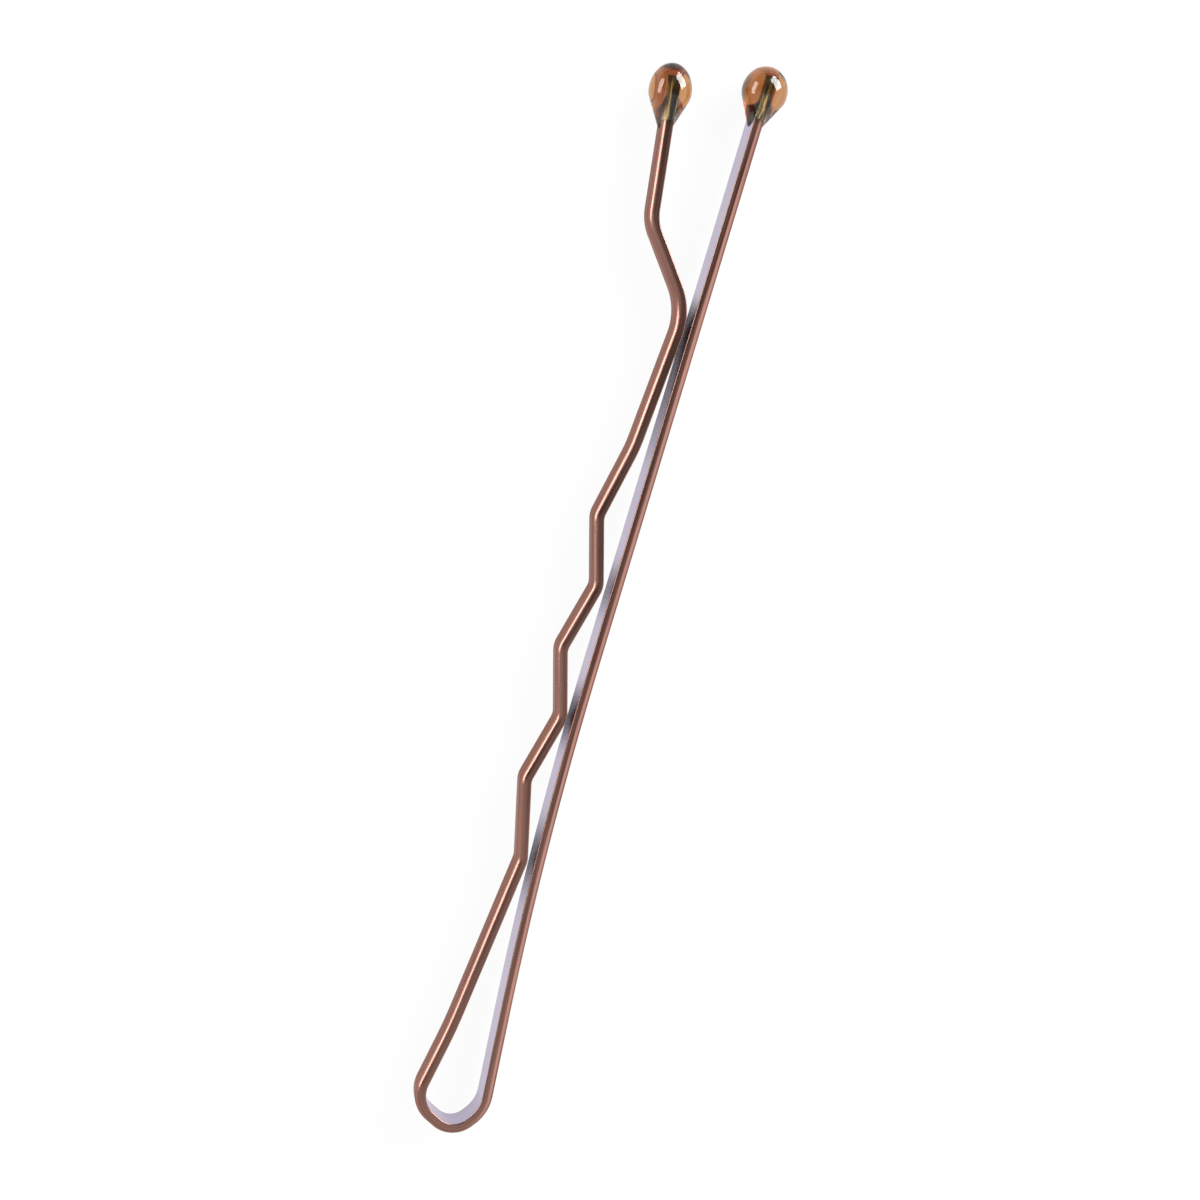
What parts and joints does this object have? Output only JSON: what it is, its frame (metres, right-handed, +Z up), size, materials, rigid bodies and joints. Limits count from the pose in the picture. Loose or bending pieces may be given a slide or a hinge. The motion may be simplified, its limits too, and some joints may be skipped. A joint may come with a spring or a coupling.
{
  "type": "bobby pin",
  "caption": "Hair grip bent from lacquered spring-steel strip, flat inside and rounded outside: a straight leg, a crimped leg that springs open about the bow, and amber resin beads on the tips.",
  "frame": {"origin": "under the middle of the pin's box, on the surface that it lies on", "axes": "+Y along the legs from the bow to the beads, +X from the crimped leg to the straight leg, +Z up through the strip's width"},
  "size_m": [0.0076, 0.0604, 0.0024],
  "materials": {
    "lacquered_strip": "brown lacquer, gloss",
    "amber_resin": "clear amber, gloss"
  },
  "bodies": {
    "straight_side": {"straight_leg": "lacquered_strip", "spring_bow": "lacquered_strip", "straight_leg_bead": "amber_resin"},
    "crimped_side": {"crimped_leg": "lacquered_strip", "crimped_leg_bead": "amber_resin"}
  },
  "joints": [
    {"name": "leg_open", "type": "hinge", "parent": "straight_side", "child": "crimped_side", "pos_m": [0.00183, -0.02851, 0.00122], "axis": [0, 0, 1], "range_deg": [0, 12], "stiffness_Nm_per_rad": 0.15, "deforming": ["spring_bow"]}
  ]
}
